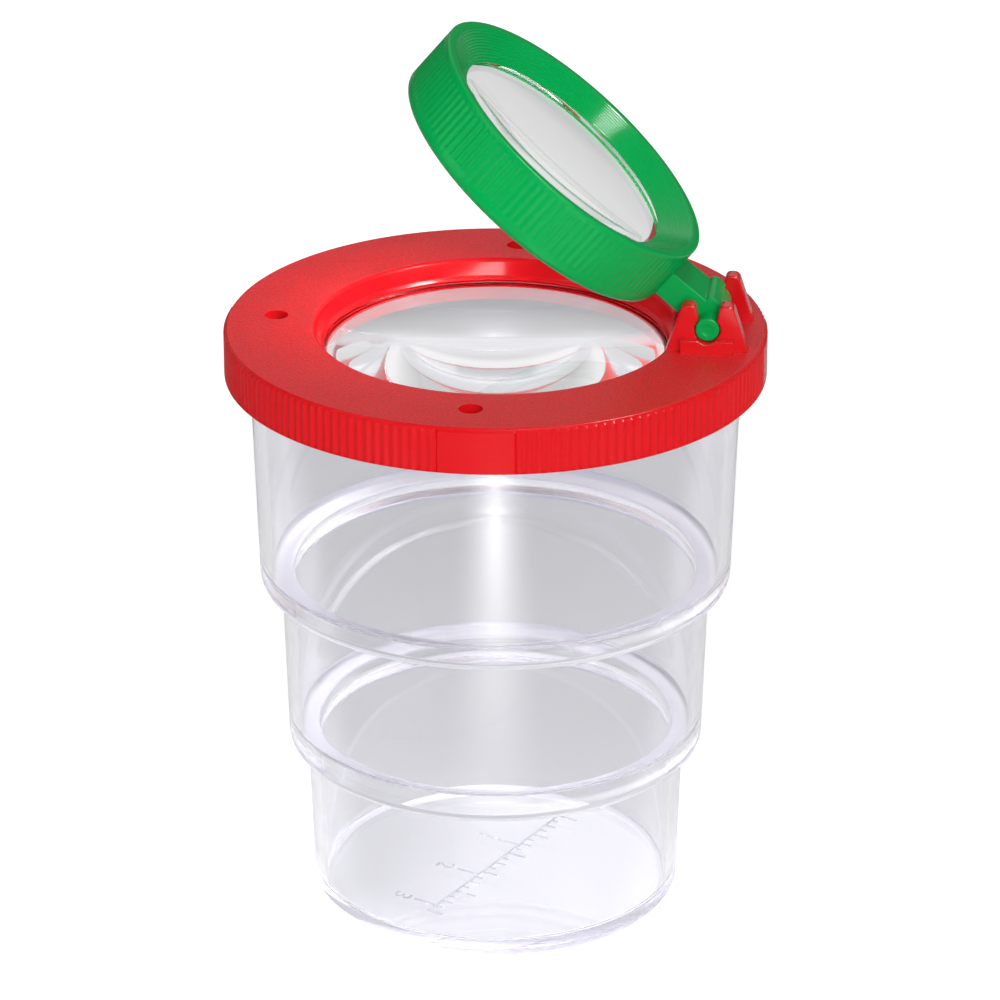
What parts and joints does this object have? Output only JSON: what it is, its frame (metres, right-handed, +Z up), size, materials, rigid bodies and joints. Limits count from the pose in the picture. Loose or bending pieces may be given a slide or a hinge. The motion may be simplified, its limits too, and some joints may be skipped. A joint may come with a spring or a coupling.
{
  "type": "bug catcher jar",
  "caption": "Clear stepped insect-viewing jar with a lift-off red lid holding a fixed lens and a green magnifier that flips up on a hinge.",
  "frame": {"origin": "centre of the jar's underside, on the table", "axes": "+Z up along the jar's axis, +X from the axis towards the magnifier's hinge, +Y along the hinge pin"},
  "size_m": [0.0684, 0.0684, 0.1156],
  "materials": {
    "clear_polystyrene": "clear moulded polystyrene, polished",
    "red_plastic": "moulded, fine matte texture on top, smooth in the well",
    "clear_lens": "clear moulded lens, polished",
    "green_plastic": "moulded, satin, fine turned lines on the dish"
  },
  "bodies": {
    "jar": {"jar": "clear_polystyrene"},
    "lid": {"lid": "red_plastic", "lid_lens": "clear_lens"},
    "magnifier": {"magnifier_frame": "green_plastic", "magnifier_lens": "clear_lens"}
  },
  "joints": [
    {"name": "lid_lift", "type": "slide", "parent": "jar", "child": "lid", "axis": [0, 0, 1], "range_m": [0, 0.04]},
    {"name": "magnifier_hinge", "type": "hinge", "parent": "lid", "child": "magnifier", "pos_m": [0.02706, 0, 0.08055], "axis": [0, 1, 0], "range_deg": [-40, 130]}
  ]
}
